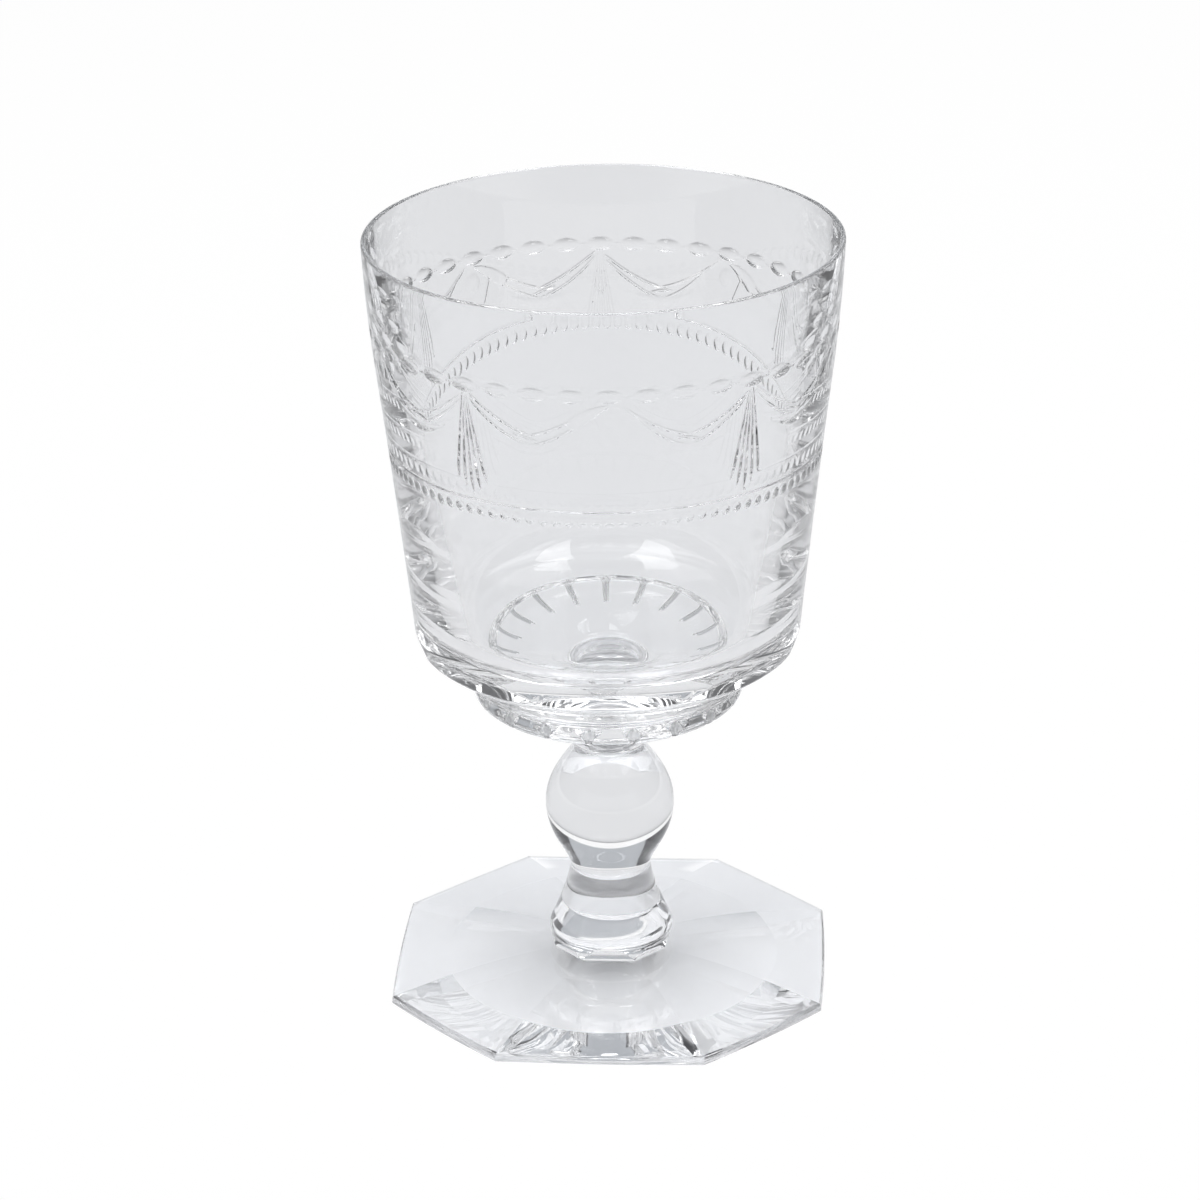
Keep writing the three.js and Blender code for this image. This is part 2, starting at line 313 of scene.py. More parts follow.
def unit(vectors):
    return vectors / np.linalg.norm(vectors, axis=-1, keepdims=True)


class Shell:
    """One closed piece, gathered patch by patch, with a normal for each corner of each face."""

    def __init__(self):
        self.points = []
        self.faces = []
        self.normals = []
        self.slots = []

    def patch(self, points, normals, faces, slot=GLASS_SLOT):
        """Smooth faces over shared points that have a normal each."""
        first = len(self.points)
        self.points.extend(points.tolist())
        for face in faces:
            self.faces.append([first + corner for corner in face])
            self.normals.extend(normals[corner] for corner in face)
            self.slots.append(slot)

    def flat(self, corners, slot=GLASS_SLOT):
        """One flat face from its corners, counterclockwise seen from outside."""
        corners = np.array(corners, float)
        turned = np.cross(corners, np.roll(corners, -1, axis=0)).sum(axis=0)
        normals = np.tile(unit(turned), (len(corners), 1))
        self.patch(corners, normals, [range(len(corners))], slot)

    def turned(self, outline, angles):
        """Round patch about Z from an outline that has the glass on its left side."""
        points, normals = revolve(outline, angles)
        grid = np.arange(len(points)).reshape(len(outline), len(angles))
        self.patch(points, normals, grid_faces(grid))

    def build(self, name, node, materials):
        """The finished object, which stands for a CAD node."""
        mesh = bpy.data.meshes.new(name)
        mesh.from_pydata((np.array(self.points) * MM).tolist(), [], self.faces)
        mesh.polygons.foreach_set("material_index", self.slots)
        mesh.polygons.foreach_set("use_smooth", [True] * len(self.faces))
        layer = mesh.attributes.new("corner_normal", "FLOAT_VECTOR", "CORNER")
        layer.data.foreach_set("vector", np.array(self.normals, np.float32).ravel())
        weld(mesh)
        layer = mesh.attributes["corner_normal"]
        kept = np.zeros(len(mesh.loops) * 3, np.float32)
        layer.data.foreach_get("vector", kept)
        mesh.attributes.remove(layer)
        mesh.normals_split_custom_set(kept.reshape(-1, 3).tolist())
        for material in materials:
            mesh.materials.append(material)
        piece = bpy.data.objects.new(name, mesh)
        bpy.context.scene.collection.objects.link(piece)
        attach(piece, "root")
        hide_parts(node)
        piece.visible_shadow = node in SHADOW_CASTERS
        return piece


def weld(mesh):
    """Joins the patches where their edges meet."""
    work = bmesh.new()
    work.from_mesh(mesh)
    bmesh.ops.remove_doubles(work, verts=work.verts, dist=WELD * MM)
    work.to_mesh(mesh)
    work.free()


def grid_faces(grid):
    """Four-cornered faces of a grid of point numbers whose last column meets its first."""
    following = np.roll(grid, -1, axis=1)
    corners = (grid[:-1], following[:-1], following[1:], grid[1:])
    return np.stack(corners, axis=-1).reshape(-1, 4).tolist()


def outline_normals(outline):
    along = np.gradient(outline, axis=0)
    return unit(np.stack([along[:, 1], -along[:, 0]], axis=1))


def revolve(outline, angles):
    """Points and normals of an outline turned to each angle, row by row."""
    outline = np.array(outline, float)
    facing = outline_normals(outline)
    points = polar(outline[:, None, 0], angles, outline[:, None, 1])
    normals = polar(facing[:, None, 0], angles, facing[:, None, 1])
    return points.reshape(-1, 3), normals.reshape(-1, 3)


def polar(radius, angle, height):
    radius, angle, height = np.broadcast_arrays(radius, angle, height)
    return np.stack([radius * np.cos(angle), radius * np.sin(angle), height], axis=-1)


def full_turn(columns, start=FRONT):
    """Angles of the columns of a round form."""
    return start + np.linspace(0, 2 * math.pi, columns, endpoint=False)


def disc(shell, radius, height, angles, upwards):
    """Flat round end of a piece, where it is fused to the next."""
    corners = polar(radius, angles if upwards else angles[::-1], height)
    shell.flat(corners, JOINT_SLOT)


def surface_normals(surface, across, along, step):
    """Normals of surface(across, along) from small steps both ways."""
    side = surface(across + step[0], along) - surface(across - step[0], along)
    rise = surface(across, along + step[1]) - surface(across, along - step[1])
    return unit(np.cross(side, rise))


# Foot
def octagon(half, half_side, height):
    plan = ((1, -1), (1, 1), (-1, 1), (-1, -1))
    corners = []
    for index, (x, y) in enumerate(plan):
        wide = (x * half, y * half_side, height)
        deep = (x * half_side, y * half, height)
        corners += (wide, deep) if index % 2 else (deep, wide)
    return np.array(corners)


def side_points(corners, index, bulge):
    """Points in plan along one bulging side of an octagon, and their places along it."""
    start = corners[index, :2]
    end = corners[(index + 1) % len(corners), :2]
    along = np.linspace(-1, 1, FOOT_SIDE_STEPS + 1)[:, None]
    outward = unit(np.array((end[1] - start[1], start[0] - end[0])))
    middle = (start + end) / 2
    return middle + along * (end - start) / 2 + bulge * (1 - along ** 2) * outward, along[:, 0]


def foot_section(outer, inner, height):
    """Section of the foot at one place: the ring it stands on, its rounded edge and its top."""
    inwards = unit(inner - outer)
    bottom = HOLLOW_RADIUS * unit(outer)
    reach = np.linalg.norm(inner - outer)
    low = bezier(((FOOT_ROUND_LOW, FOOT_RING_LIFT), (0, FOOT_RING_LIFT),
                  (0, FOOT_RING_LIFT + FOOT_ROUND_LOW)), FOOT_ROUND_STEPS[0])
    shoulder = height + FOOT_EDGE_SLOPE * FOOT_ROUND_TOP
    high = bezier(((0, height - FOOT_ROUND_TOP), (0, height), (FOOT_ROUND_TOP, shoulder)),
                  FOOT_ROUND_STEPS[1])
    bend = FOOT_SLOPE_SHARE * reach
    middle = (bend + reach) / 2
    slope_top = shoulder + FOOT_EDGE_SLOPE * (bend - FOOT_ROUND_TOP)
    slope = straight((FOOT_ROUND_TOP, shoulder), (bend, slope_top), FOOT_SLOPE_STEPS)
    top = bezier(((bend, slope_top), (middle, slope_top + FOOT_EDGE_SLOPE * (middle - bend)),
                  (reach, FOOT_TOP)), ROWS_PER_CURVE)
    section = np.concatenate([low, high, slope[1:], top[1:]])
    edge = np.column_stack([outer + section[:, :1] * inwards, section[:, 1]])
    ring = straight((*bottom, 0), edge[0], FOOT_RING_STEPS)
    return np.concatenate([ring[:-1], edge])


def sheet(shell, points):
    """Smooth patch over a grid of points whose rows run up the outside."""
    across = np.gradient(points, axis=1)
    upwards = np.gradient(points, axis=0)
    normals = unit(np.cross(across, upwards))
    grid = np.arange(points.shape[0] * points.shape[1]).reshape(points.shape[:2])
    corners = (grid[:-1, :-1], grid[:-1, 1:], grid[1:, 1:], grid[1:, :-1])
    faces = np.stack(corners, axis=-1).reshape(-1, 4).tolist()
    shell.patch(points.reshape(-1, 3), normals.reshape(-1, 3), faces)


def foot(materials):
    """The foot, side by side, with the hollow ground into its underside."""
    shell = Shell()
    outline = octagon(FOOT_HALF + FOOT_SPREAD[0], FOOT_HALF_SIDE + FOOT_SPREAD[1], 0)
    platform = octagon(PLATFORM_HALF, PLATFORM_HALF_SIDE, 0)
    flats = octagon(FLATS_HALF, flats_half_side(), 0)
    middle = []
    angles = []
    for index in range(len(outline)):
        outer, along = side_points(outline, index, FOOT_BULGE)
        inner = side_points(platform, index, 0)[0]
        heights = FOOT_EDGE - FOOT_DROOP * (1 - along ** 2)
        sections = [foot_section(*places) for places in zip(outer, inner, heights)]
        sheet(shell, np.stack(sections, axis=1))
        seat = side_points(flats, index, 0)[0]
        level = np.full((len(along), 1), FOOT_TOP)
        sheet(shell, np.stack([np.hstack([inner, level]), np.hstack([seat, level])]))
        middle.extend(np.hstack([seat, level])[:-1])
        angles.extend(np.arctan2(outer[:-1, 1], outer[:-1, 0]))
    shell.flat(middle, JOINT_SLOT)
    hollow(shell, np.array(angles))
    return shell.build("crystal_foot", "foot", materials)


def hollow(shell, angles):
    """Shallow dome ground into the foot from below."""
    share = np.linspace(0, 1, 2 * ROWS_PER_CURVE + 1)
    outline = np.stack([HOLLOW_RADIUS * share, HOLLOW_DEPTH * (1 - share ** 2)], axis=1)
    shell.turned(outline, angles)


# Stem
def flats_half_side():
    return FLATS_HALF * PLATFORM_HALF_SIDE / PLATFORM_HALF


def flats_radius(angles, heights):
    """Distance from the axis to the eight flats that trim the stem base's ring."""
    growth = 1 + FLATS_SLOPE * (heights - FOOT_TOP) / FLATS_HALF
    x = np.abs(np.cos(angles))
    y = np.abs(np.sin(angles))
    straight_sides = FLATS_HALF / np.maximum(x, y)
    slanted_sides = (FLATS_HALF + flats_half_side()) / (x + y)
    return growth * np.minimum(straight_sides, slanted_sides)


def ring_outline():
    """Outline of the stem base's ring and flare, from the platform up to the neck."""
    low = straight((RING_FOOT_RADIUS, FOOT_TOP), RING_LOW, ROWS_PER_CURVE)
    ring = bezier((RING_LOW, RING_BEND, FLARE_FOOT), ROWS_PER_CURVE)
    flare = bezier((FLARE_FOOT, FLARE_BEND, (NECK_RADIUS, NECK_TOP)), 2 * ROWS_PER_CURVE)
    return np.concatenate([low, ring[1:], flare[1:]])


def stem_base(materials):
    shell = Shell()
    outline = ring_outline()
    heights = np.linspace(FOOT_TOP, NECK_TOP, LATHE_SAMPLES)
    lathe = np.interp(heights, outline[:, 1], outline[:, 0])
    angles = flat_angles()
    trims = np.array([heights[np.argmax(flats_radius(a, heights) > lathe)] for a in angles])
    # Flats, from the platform up to the edge where they meet the round ring.
    share = np.linspace(0, 1, ROWS_PER_CURVE // 2 + 1)[:, None]
    z = FOOT_TOP + share * (trims - FOOT_TOP)
    points = polar(flats_radius(angles, z), angles, z)
    for column in range(len(angles)):
        nxt = (column + 1) % len(angles)
        for row in range(len(share) - 1):
            shell.flat([points[row, column], points[row, nxt],
                        points[row + 1, nxt], points[row + 1, column]])
    # Round part, from that edge up to the neck.
    share = np.linspace(0, 1, 4 * ROWS_PER_CURVE + 1)[:, None]
    z = trims + share * (NECK_TOP - trims)
    radius = np.interp(z, heights, lathe)
    radius[0] = flats_radius(angles, trims)
    slope = np.interp(z, heights, np.gradient(lathe, heights))
    points = polar(radius, angles, z).reshape(-1, 3)
    normals = unit(polar(1.0, np.broadcast_to(angles, z.shape), -slope)).reshape(-1, 3)
    grid = np.arange(len(points)).reshape(len(share), len(angles))
    shell.patch(points, normals, grid_faces(grid))
    ends = polar(flats_radius(angles, np.full(len(angles), FOOT_TOP)), angles, FOOT_TOP)
    shell.flat(ends[::-1], JOINT_SLOT)
    disc(shell, NECK_RADIUS, NECK_TOP, angles, True)
    return shell.build("crystal_stem_base", "stem_base", materials)


def flat_angles():
    """Angles round the stem base, with one on each corner between two flats."""
    corners = octagon(FLATS_HALF, flats_half_side(), 0)
    turns = np.unwrap(np.arctan2(corners[:, 1], corners[:, 0]))
    turns = np.append(turns, turns[0] + 2 * math.pi)
    steps = STEM_COLUMNS // FLATS_COUNT
    parts = [np.linspace(a, b, steps, endpoint=False) for a, b in zip(turns, turns[1:])]
    return np.concatenate(parts)


def ball_knop(materials):
    neck, lower, upper = KNOP_EASES
    outline = np.concatenate([
        bezier(((NECK_RADIUS, NECK_TOP), (NECK_RADIUS, NECK_TOP + neck),
                (KNOP_RADIUS, KNOP_CENTRE - lower), (KNOP_RADIUS, KNOP_CENTRE)), 2 * ROWS_PER_CURVE),
        bezier(((KNOP_RADIUS, KNOP_CENTRE), (KNOP_RADIUS, KNOP_CENTRE + upper),
                (KNOP_TOP_RADIUS + KNOP_TOP_EASE[0], KNOP_TOP + KNOP_TOP_EASE[1]),
                (KNOP_TOP_RADIUS, KNOP_TOP)), 2 * ROWS_PER_CURVE)[1:],
    ])
    shell = Shell()
    angles = full_turn(STEM_COLUMNS)
    shell.turned(outline, angles)
    disc(shell, NECK_RADIUS, NECK_TOP, angles, False)
    disc(shell, KNOP_TOP_RADIUS, KNOP_TOP, angles, True)
    return shell.build("crystal_ball_knop", "ball_knop", materials)


def merese(materials):
    swell = BASE_NECK_RADIUS + MERESE_SWELL
    outline = bezier(((KNOP_TOP_RADIUS, KNOP_TOP), (swell, (KNOP_TOP + MERESE_TOP) / 2),
                      (BASE_NECK_RADIUS, MERESE_TOP)), ROWS_PER_CURVE)
    shell = Shell()
    angles = full_turn(STEM_COLUMNS)
    shell.turned(outline, angles)
    disc(shell, KNOP_TOP_RADIUS, KNOP_TOP, angles, False)
    disc(shell, BASE_NECK_RADIUS, MERESE_TOP, angles, True)
    return shell.build("crystal_merese", "merese", materials)


# Dish under the bowl
def ease(value):
    """Smooth step from 0 to 1."""
    value = np.clip(value, 0, 1)
    return value * value * (3 - 2 * value)


def leaf_share(across, along, length):
    """1 on the centre line of a dart's pointed leaf and 0 at its edge."""
    up = 1 - (length - along) / LEAF_LENGTH
    inside = (up > 0) & (up < 1)
    up = np.clip(up, LEAF_END, 1 - LEAF_END)
    half = LEAF_HALF_WIDTH * np.sin(math.pi * up ** LEAF_SKEW)
    return np.where(inside, np.clip(1 - np.abs(across) / half, 0, 1), 0)


def dart_offset(across, pitch):
    """Distance from the middle line of the nearest dart, halfway between two eggs."""
    return np.abs(across - pitch * np.round(across / pitch)) - pitch / 2


def valley_half_width(along, length):
    """Half width of the valley between two eggs, which opens out towards the band's top."""
    up = ease((along - length + LEAF_LENGTH) / LEAF_LENGTH)
    return VALLEY_HALF_WIDTH * (1 + VALLEY_FLARE * up)


def band_relief(across, along, pitch, length):
    """Height of the egg-and-dart above the band, from the place round and up the band."""
    dart = dart_offset(across, pitch)
    fade = ease(along / BAND_FADE[0]) * ease((length - along) / BAND_FADE[1])
    valley = np.clip(1 - np.abs(dart) / valley_half_width(along, length), 0, 1)
    leaf = LEAF_PROUD * ease(leaf_share(dart, along, length) / LEAF_SIDE)
    return leaf - VALLEY_DEPTH * valley * fade


def matt_painted_shade_slot(across, along, pitch, length):
    """Material slot of a place on the band, which is matt on the leaves and in the valleys, with
    painted shade as a grey tint on both, darkest in the valleys.
    """
    dart = dart_offset(across, pitch)
    low = (along > BAND_FADE[0] / 2) & (along < length - LEAF_LENGTH / 2)
    valley = low & (np.abs(dart) < valley_half_width(along, length))
    below_leaf = np.where(valley, VALLEY_SLOT, GLASS_SLOT)
    return np.where(leaf_share(dart, along, length) > 0, LEAF_SLOT, below_leaf)


def band_patch(shell):
    """Egg-and-dart band, from the underside of the dish up to its shoulder."""
    outline = bezier((BAND_BOTTOM, *BAND_BEND, BAND_TOP), OUTLINE_SAMPLES)
    walked = np.append(0, np.cumsum(np.linalg.norm(np.diff(outline, axis=0), axis=1)))
    length = walked[-1]
    facing = outline_normals(outline)
    mean_radius = (BAND_BOTTOM[0] + BAND_TOP[0]) / 2
    pitch = 2 * math.pi * mean_radius / EGG_COUNT

    def place(across, along):
        relief = band_relief(across, along, pitch, length)
        radius = np.interp(along, walked, outline[:, 0])
        height = np.interp(along, walked, outline[:, 1])
        out = np.interp(along, walked, facing[:, 0])
        up = np.interp(along, walked, facing[:, 1])
        return polar(radius + out * relief, FRONT + across / mean_radius, height + up * relief)

    columns = EGG_COUNT * BAND_COLUMNS
    across, along = np.meshgrid(
        np.linspace(0, EGG_COUNT * pitch, columns, endpoint=False),
        np.linspace(0, length, BAND_ROWS + 1),
    )
    across = across.ravel()
    along = along.ravel()
    points = place(across, along)
    normals = surface_normals(place, across, along, (NORMAL_STEP, NORMAL_STEP))
    grid = np.arange(len(points)).reshape(BAND_ROWS + 1, columns)
    faces = np.array(grid_faces(grid))
    corners = faces[:, [0, 2]]
    middle = along[corners].mean(axis=1)
    step = EGG_COUNT * pitch / columns
    slots = matt_painted_shade_slot(across[faces[:, 0]] + step / 2, middle, pitch, length)
    for slot in (GLASS_SLOT, LEAF_SLOT, VALLEY_SLOT):
        shell.patch(points, normals, faces[slots == slot].tolist(), slot)


def bowl_base(materials):
    angles = full_turn(EGG_COUNT * BAND_COLUMNS)
    fillet_top = MERESE_TOP + BASE_NECK_LENGTH + BASE_FILLET
    fillet = bezier(((BASE_NECK_RADIUS, fillet_top - BASE_FILLET), (BASE_NECK_RADIUS, fillet_top),
                     (BASE_NECK_RADIUS + BASE_FILLET, fillet_top)), ROWS_PER_CURVE)
    neck = straight((BASE_NECK_RADIUS, MERESE_TOP), fillet[0], BASE_NECK_STEPS)
    under = straight(fillet[-1], BAND_BOTTOM, BASE_UNDER_STEPS)
    shoulder = bezier((BAND_TOP, SHOULDER_BEND, (BASE_RADIUS, BASE_TOP)), ROWS_PER_CURVE // 2)
    shell = Shell()
    shell.turned(np.concatenate([neck, fillet[1:]]), angles)
    shell.turned(under, angles)
    band_patch(shell)
    shell.turned(shoulder, angles)
    disc(shell, BASE_NECK_RADIUS, MERESE_TOP, angles, False)
    disc(shell, BASE_RADIUS, BASE_TOP, angles, True)
    return shell.build("crystal_bowl_base", "bowl_base", materials)


# Bowl
def wall_radius(height):
    """Radius of the bowl's outer wall above the heel, smooth through its stations."""
    radius = np.zeros_like(height)
    last = len(WALL_STATIONS) - 2
    for index, (low, high) in enumerate(zip(WALL_STATIONS, WALL_STATIONS[1:])):
        (r0, z0, m0), (r1, z1, m1) = low, high
        above = height >= z0 if index else height > -math.inf
        below = height < z1 if index < last else height < math.inf
        span = z1 - z0
        t = (height - z0) / span
        hermite = (
            r0 * (2 * t ** 3 - 3 * t ** 2 + 1) + m0 * span * (t ** 3 - 2 * t ** 2 + t)
            + r1 * (3 * t ** 2 - 2 * t ** 3) + m1 * span * (t ** 3 - t ** 2)
        )
        radius = np.where(above & below, hermite, radius)
    return radius


def wall_place(across, height, depth):
    """Point on the bowl's wall, moved in by depth. across is unrolled at the pattern's radius."""
    radius = wall_radius(height)
    slope = (wall_radius(height + NORMAL_STEP) - wall_radius(height - NORMAL_STEP)) / (2 * NORMAL_STEP)
    tilt = np.hypot(1, slope)
    angle = FRONT + across / PATTERN_RADIUS
    return polar(radius - depth / tilt, angle, height + depth * slope / tilt)


@dataclass
class Groove:
    """A cut along a line of the unrolled pattern, with its half width and depth at each point."""

    line: np.ndarray
    half: np.ndarray
    deep: np.ndarray
    power: float = 2

    def depth(self, places):
        start = self.line[None, :-1]
        step = self.line[None, 1:] - start
        offset = places[:, None] - start
        share = np.clip((offset * step).sum(-1) / (step ** 2).sum(-1), 0, 1)
        gap = np.linalg.norm(offset - share[..., None] * step, axis=-1)
        half = self.half[:-1] + share * np.diff(self.half)
        deep = self.deep[:-1] + share * np.diff(self.deep)
        return (deep * np.clip(1 - (gap / half) ** self.power, 0, 1)).max(axis=1)

    def samples(self):
        """Rows of points along the groove: its middle, its sides and just outside its edges."""
        side = np.gradient(self.line, axis=0)
        side = unit(np.stack([-side[:, 1], side[:, 0]], axis=1))
        return np.concatenate([self.line + side * (self.half * row)[:, None] for row in GROOVE_ROWS])


def unrolled(points):
    """Angles in degrees and heights as millimetres on the unrolled pattern."""
    points = np.array(points, float)
    return np.stack([np.radians(points[:, 0]) * PATTERN_RADIUS, points[:, 1]], axis=1)


def fine_line(curve):
    """A swag's line, which thins out to its ends."""
    points = unrolled(curve)
    length = np.linalg.norm(points[-1] - points[0])
    steps = max(SWAG_LINE_LEAST_STEPS, int(length / SWAG_LINE_STEP))
    share = np.linspace(0, 1, steps + 1)
    thin = np.clip(SWAG_LINE_TAPER * np.minimum(share, 1 - share) + SWAG_LINE_END, 0, 1)
    return Groove(bezier(points, steps), SWAG_LINE_HALF_WIDTH * thin, SWAG_LINE_DEPTH * thin)


def broad_hollow(curve):
    """A shallow hollow under a swag, widest in its middle."""
    share = np.linspace(0, 1, SWAG_HOLLOW_STEPS + 1)
    share = np.clip(share, SWAG_HOLLOW_END, 1 - SWAG_HOLLOW_END)
    swell = np.sin(math.pi * share) ** SWAG_HOLLOW_FULLNESS
    line = bezier(unrolled(curve), SWAG_HOLLOW_STEPS)
    return Groove(line, SWAG_HOLLOW_HALF_WIDTH * swell, SWAG_HOLLOW_DEPTH * swell)


def ribbon():
    """The flat-bottomed ribbon beside the knot, which widens away from it."""
    half = bezier([(width, 0) for width in RIBBON_HALF_WIDTHS], RIBBON_STEPS)[:, 0]
    deep = np.full(RIBBON_STEPS + 1, RIBBON_DEPTH)
    return Groove(bezier(unrolled(RIBBON), RIBBON_STEPS), half, deep, power=RIBBON_FLATNESS)


def tassel_groove(tip):
    """One tapering groove of a tassel, widest near its tip."""
    angle, height = tip
    ends = ((TASSEL + angle * TASSEL_TOP_SPREAD, TASSEL_TOP), (TASSEL + angle, height))
    share = np.linspace(0, 1, TASSEL_STEPS + 1)
    growth = TASSEL_HALF_WIDTH - TASSEL_TOP_HALF_WIDTH
    widen = TASSEL_TOP_HALF_WIDTH + growth * share / TASSEL_WIDEST
    closing = np.clip((1 - share) / (1 - TASSEL_WIDEST), TASSEL_TIP_SHARE, 1)
    half = np.minimum(widen, TASSEL_HALF_WIDTH * np.sqrt(closing))
    return Groove(bezier(unrolled(ends), TASSEL_STEPS), half, TASSEL_DEPTH_SHARE * half)


def pattern_grooves():
    """The grooves of one repeat of the pattern and of its neighbours on both sides."""
    own = [fine_line(curve) for curve in SWAG_LINES]
    own += [broad_hollow(curve) for curve in SWAG_HOLLOWS]
    own += [tassel_groove(tip) for tip in TASSEL_TIPS]
    own.append(ribbon())
    grooves = []
    for turn in (-1, 0, 1):
        shift = np.array([math.radians(turn * SECTOR) * PATTERN_RADIUS, 0])
        grooves += [Groove(g.line + shift, g.half, g.deep, g.power) for g in own]
    return grooves


def row_offset(across, pitch):
    """Place within one unit of a row that repeats every pitch degrees from the knot."""
    width = math.radians(pitch) * PATTERN_RADIUS
    return across - width * np.round(across / width)


def dish_depth(x, y, size, depth):
    return depth * np.clip(1 - (x / size[0]) ** 2 - (y / size[1]) ** 2, 0, 1)


def pattern_depth(across, height, grooves):
    """Depth of the cuts at places on the unrolled wall."""
    places = np.stack([across, height], axis=1)
    depth = dish_depth(row_offset(across, OVAL_PITCH), height - OVAL_ROW, OVAL_SIZE, OVAL_DEPTH)
    pearls = dish_depth(row_offset(across, PEARL_PITCH), height - PEARL_ROW, PEARL_SIZE, PEARL_DEPTH)
    link = LINK_DEPTH * np.clip(1 - ((height - OVAL_ROW) / LINK_HALF_WIDTH) ** 2, 0, 1)
    ring = RING_LINE_DEPTH * np.clip(1 - ((height - RING_LINE) / RING_LINE_HALF_WIDTH) ** 2, 0, 1)
    knot_x = row_offset(across - math.radians(KNOT[0]) * PATTERN_RADIUS, SECTOR)
    knot = dish_depth(knot_x, height - KNOT[1], KNOT_SIZE, KNOT_DEPTH)
    for cut in (pearls, link, ring, knot, *(groove.depth(places) for groove in grooves)):
        depth = np.maximum(depth, cut)
    return depth


def rings_of(centre, size, count):
    """Points on rings inside, on and just outside the edge of an oval cut."""
    angles = np.linspace(0, 2 * math.pi, count, endpoint=False)
    circle = np.stack([np.cos(angles) * size[0], np.sin(angles) * size[1]], axis=1)
    rings = [centre + share * circle for share in OVAL_RINGS]
    return np.concatenate([[centre], *rings])


def row_of(pitch, height, size, count, phase=0.0):
    """Ring points of every oval of a row that may lie in the sector."""
    numbers = range(int(-2 * SECTOR / pitch), int(2 * SECTOR / pitch) + 1)
    centres = unrolled([(phase + number * pitch, height) for number in numbers])
    return [rings_of(centre, size, count) for centre in centres]


def line_rows(height, half):
    """Points along a straight line round the bowl: its middle, sides and just outside."""
    left, right = sector_edges()
    across = np.linspace(left, right, LINE_POINTS)
    return [np.stack([across, np.full(LINE_POINTS, height + half * row)], axis=1) for row in LINE_ROWS]


def sector_edges():
    start = math.radians(SECTOR_START) * PATTERN_RADIUS
    return start, start + math.radians(SECTOR) * PATTERN_RADIUS


def thinned(points, taken):
    """The points that keep their distance from those taken before them."""
    cell = CLOSEST_POINTS
    used = {(round(x / cell), round(y / cell)) for x, y in taken}
    kept = []
    for x, y in points:
        key = (round(x / cell), round(y / cell))
        if key not in used:
            used.add(key)
            kept.append((x, y))
    return kept


def edge_points():
    """Points on the sector's border, the same on its left and right side."""
    left, right = sector_edges()
    steps = BOWL_COLUMNS // REPEATS
    across = np.linspace(left, right, steps + 1)
    coarse = np.arange(PATTERN_BOTTOM + PATTERN_GRAIN, PATTERN_TOP, PATTERN_GRAIN)
    lines = ((RING_LINE, RING_LINE_HALF_WIDTH), (OVAL_ROW, LINK_HALF_WIDTH))
    fine = [z + half * row for z, half in lines for row in LINE_ROWS]
    swags = np.arange(*SWAG_EDGE_HEIGHTS, SWAG_EDGE_STEP)
    heights = sorted({round(z, 3) for z in (*coarse, *fine, *swags)})
    bottom = [(x, PATTERN_BOTTOM) for x in across]
    side = [(right, z) for z in heights]
    top = [(x, PATTERN_TOP) for x in across[::-1]]
    other = [(left, z) for z in heights[::-1]]
    return bottom + side + top + other


def pattern_points(grooves):
    """Points of one sector of the unrolled pattern: its border, its cuts and the plain wall."""
    left, right = sector_edges()
    border = edge_points()
    cuts = [groove.samples() for groove in grooves]
    cuts += row_of(OVAL_PITCH, OVAL_ROW, OVAL_SIZE, OVAL_POINTS)
    cuts += row_of(PEARL_PITCH, PEARL_ROW, PEARL_SIZE, PEARL_POINTS)
    cuts += row_of(SECTOR, KNOT[1], KNOT_SIZE, KNOT_POINTS, KNOT[0])
    cuts += line_rows(RING_LINE, RING_LINE_HALF_WIDTH)
    cuts += line_rows(OVAL_ROW, LINK_HALF_WIDTH)
    cuts = np.concatenate(cuts)
    wall_x, wall_z = np.meshgrid(
        np.arange(left + PATTERN_GRAIN / 2, right, PATTERN_GRAIN),
        np.arange(PATTERN_BOTTOM + PATTERN_GRAIN / 2, PATTERN_TOP, PATTERN_GRAIN),
    )
    wall = np.stack([wall_x.ravel(), wall_z.ravel()], axis=1)
    points = np.concatenate([cuts, wall])
    x = points[:, 0]
    z = points[:, 1]
    inside = (x > left + BORDER_MARGIN) & (x < right - BORDER_MARGIN)
    inside &= (z > PATTERN_BOTTOM + BORDER_MARGIN) & (z < PATTERN_TOP - BORDER_MARGIN)
    return border, thinned(points[inside].tolist(), border)


def pattern_band(shell):
    """The cut part of the bowl's wall: one triangulated sector, turned to its five places."""
    grooves = pattern_grooves()
    border, inner = pattern_points(grooves)
    loop = [(index, (index + 1) % len(border)) for index in range(len(border))]
    corners = [Vector(point) for point in border + inner]
    found = delaunay_2d_cdt(corners, loop, [], 0, MERGE_DISTANCE, False)
    places = np.array(found[0], float)
    faces = found[2]

    def place(across, height):
        return wall_place(across, height, pattern_depth(across, height, grooves))

    points = place(places[:, 0], places[:, 1])
    normals = surface_normals(place, places[:, 0], places[:, 1], (NORMAL_STEP, NORMAL_STEP))
    for turn in range(REPEATS):
        turning = np.array(Matrix.Rotation(math.radians(turn * SECTOR), 3, "Z")).T
        shell.patch(points @ turning, normals @ turning, faces)


def heel_outline():
    """The bowl's outside from its joint with the dish up to the foot of its cut pattern, uncut."""
    joint = np.array((BASE_RADIUS, BASE_TOP))
    corner = np.array(HEEL_CORNER)
    wall_foot = np.array(WALL_STATIONS[0][:2])
    inwards = corner + unit(joint - corner) * HEEL_ROUND
    upwards = corner + unit(wall_foot - corner) * HEEL_ROUND
    heights = np.linspace(wall_foot[1], PATTERN_BOTTOM, HEEL_SAMPLES)
    wall = np.stack([wall_radius(heights), heights], axis=1)
    return np.concatenate([
        straight(joint, inwards, HEEL_SAMPLES),
        bezier((inwards, corner, upwards), 2 * HEEL_SAMPLES)[1:],
        straight(upwards, wall_foot, HEEL_SAMPLES)[1:],
        wall[1:],
    ])


